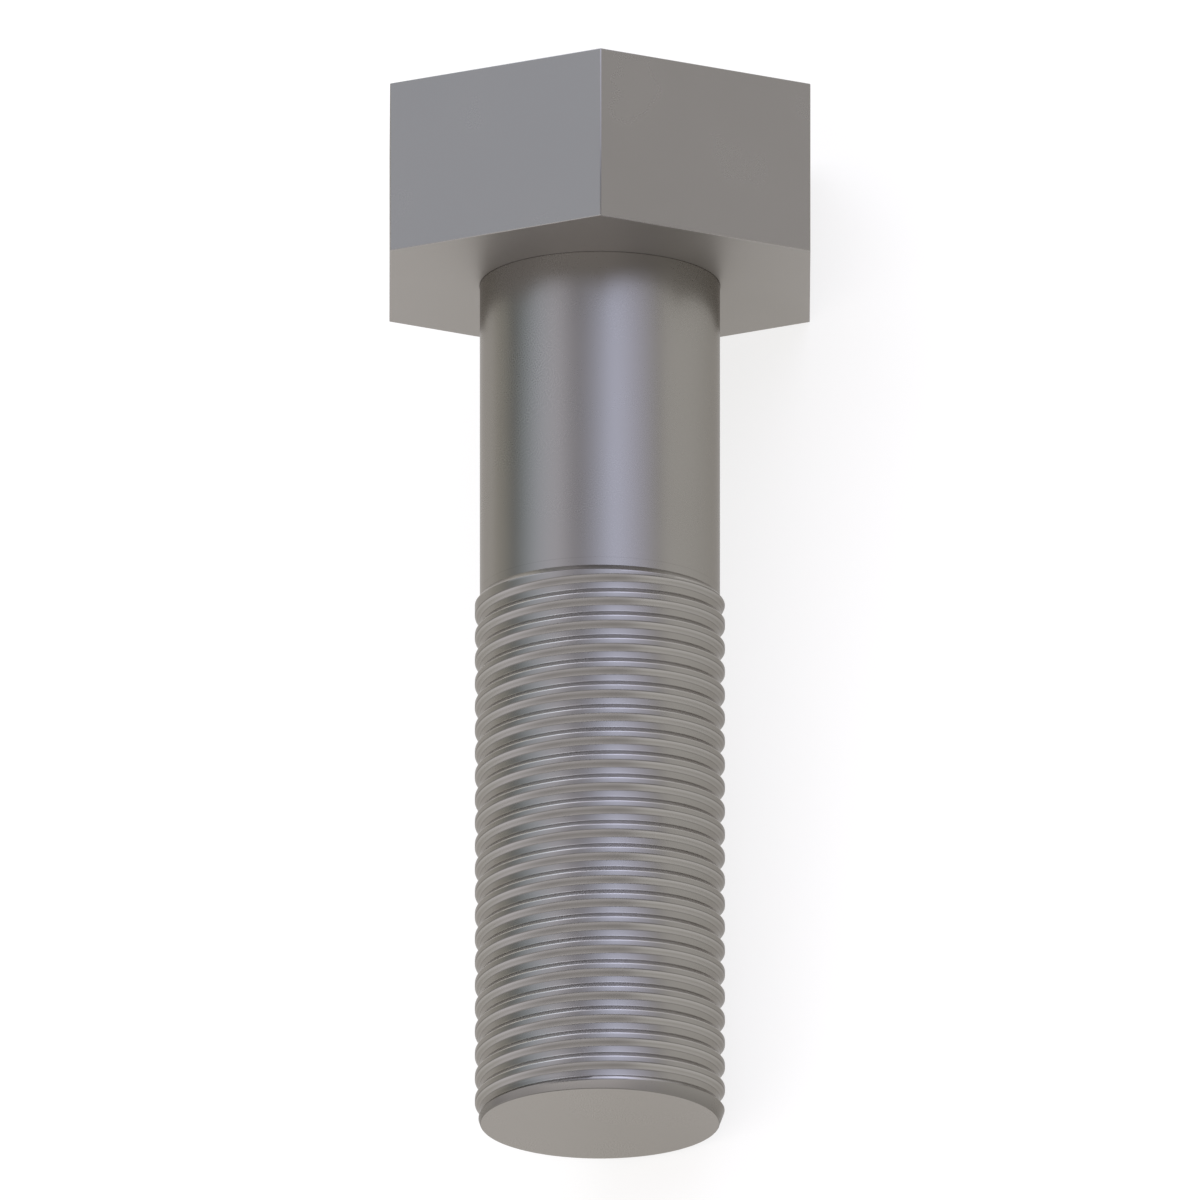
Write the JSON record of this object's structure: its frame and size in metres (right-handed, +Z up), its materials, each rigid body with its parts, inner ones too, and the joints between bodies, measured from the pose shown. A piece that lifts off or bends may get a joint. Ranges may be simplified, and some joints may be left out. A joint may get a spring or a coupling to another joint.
{
  "type": "hexagon head screw",
  "caption": "Hexagon head screw of steel, with a plain hexagonal head, a plain shank and a fine right-hand thread up to the tip.",
  "frame": {"origin": "On the floor, under the middle of the box round the screw as it lies.", "axes": "+Z up. The screw's axis lies in the XZ plane and points from the tip at -X to the head at +X, rising by 5.6 degrees towards the head. One flat of the head is on top, square to the axis and leaning back by the same angle."},
  "size_m": [0.043, 0.0194, 0.0174],
  "materials": {
    "steel": "plain machined steel, satin, with fine turning marks on the shank and a smoother ground look on the head's flats"
  },
  "bodies": {
    "root": {"hex_head_screw": "steel"}
  },
  "joints": []
}
